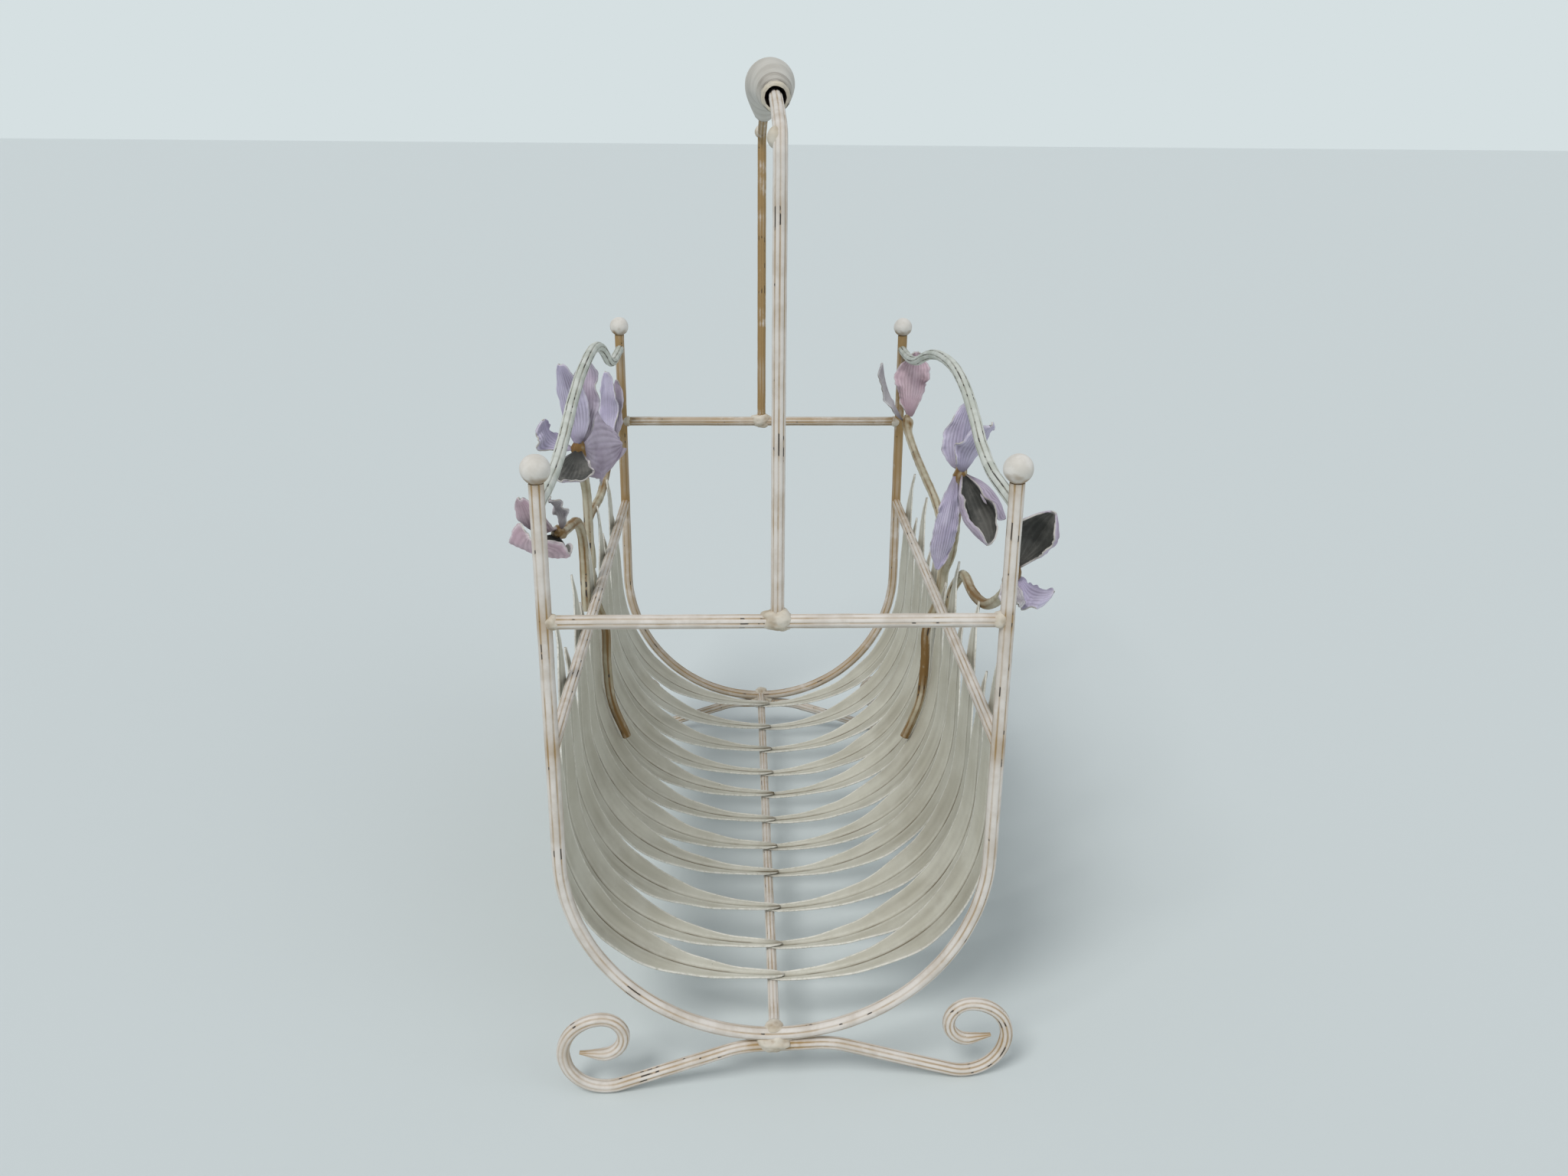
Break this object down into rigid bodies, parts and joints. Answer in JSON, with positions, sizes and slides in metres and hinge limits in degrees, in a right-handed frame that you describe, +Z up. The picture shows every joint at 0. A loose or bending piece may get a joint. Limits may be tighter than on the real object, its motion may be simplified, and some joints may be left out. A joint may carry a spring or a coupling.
{
  "type": "magazine rack",
  "caption": "Wrought-iron magazine rack: two rod hoops carry a basket of sheet-metal iris leaves, with an arched handle, a turning wooden grip, iris flower sprays and scrolled feet.",
  "frame": {"origin": "on the floor, under the middle of the rack", "axes": "+Z up, X across the rack from the left leaves to the right ones, Y along it from the front hoop to the rear hoop"},
  "size_m": [0.3207, 0.5076, 0.6019],
  "materials": {
    "rod": "matt antique white paint, rubbed and chipped, with a brown patina in the grooves",
    "crest": "matt pale grey-green paint, chipped along a groove",
    "ball": "satin off-white paint, brown at the base",
    "leaf": "matt greenish grey wash with pale edges and a dark fold line",
    "stem": "matt beige to grey-green paint, brown at the calyx",
    "petal": "matt lilac and pink wash over dark metal, with pale rims",
    "grip": "matt grey-white paint on turned wood, worn at the ends"
  },
  "bodies": {
    "frame": {"front_hoop": "rod", "rear_hoop": "rod", "front_crossbar": "rod", "rear_crossbar": "rod", "left_side_rail": "rod", "right_side_rail": "rod", "left_crest_rod": "crest", "right_crest_rod": "crest", "spine_rod": "rod", "handle_rod": "rod", "front_foot": "rod", "rear_foot": "rod", "front_left_ball": "ball", "front_right_ball": "ball", "rear_left_ball": "ball", "rear_right_ball": "ball", "left_leaf_01": "leaf", "left_leaf_02": "leaf", "left_leaf_03": "leaf", "left_leaf_04": "leaf", "left_leaf_05": "leaf", "left_leaf_06": "leaf", "left_leaf_07": "leaf", "left_leaf_08": "leaf", "left_leaf_09": "leaf", "left_leaf_10": "leaf", "left_leaf_11": "leaf", "right_leaf_01": "leaf", "right_leaf_02": "leaf", "right_leaf_03": "leaf", "right_leaf_04": "leaf", "right_leaf_05": "leaf", "right_leaf_06": "leaf", "right_leaf_07": "leaf", "right_leaf_08": "leaf", "right_leaf_09": "leaf", "right_leaf_10": "leaf", "right_leaf_11": "leaf", "left_main_stem": "stem", "left_far_stem": "stem", "left_near_stem": "stem", "right_main_stem": "stem", "right_far_stem": "stem", "right_near_stem": "stem", "left_iris_standards": "petal", "left_iris_falls": "petal", "left_bud_petals": "petal", "left_bloom_petals": "petal", "right_iris_standards": "petal", "right_iris_falls": "petal", "right_bud_petals": "petal", "right_bloom_petals": "petal"},
    "grip": {"handle_grip": "grip"}
  },
  "joints": [
    {"name": "grip_rock", "type": "hinge", "parent": "frame", "child": "grip", "pos_m": [0, 0.0003, 0.5799], "axis": [0, 0.9999, -0.0122], "range_deg": [-5, 5]}
  ]
}
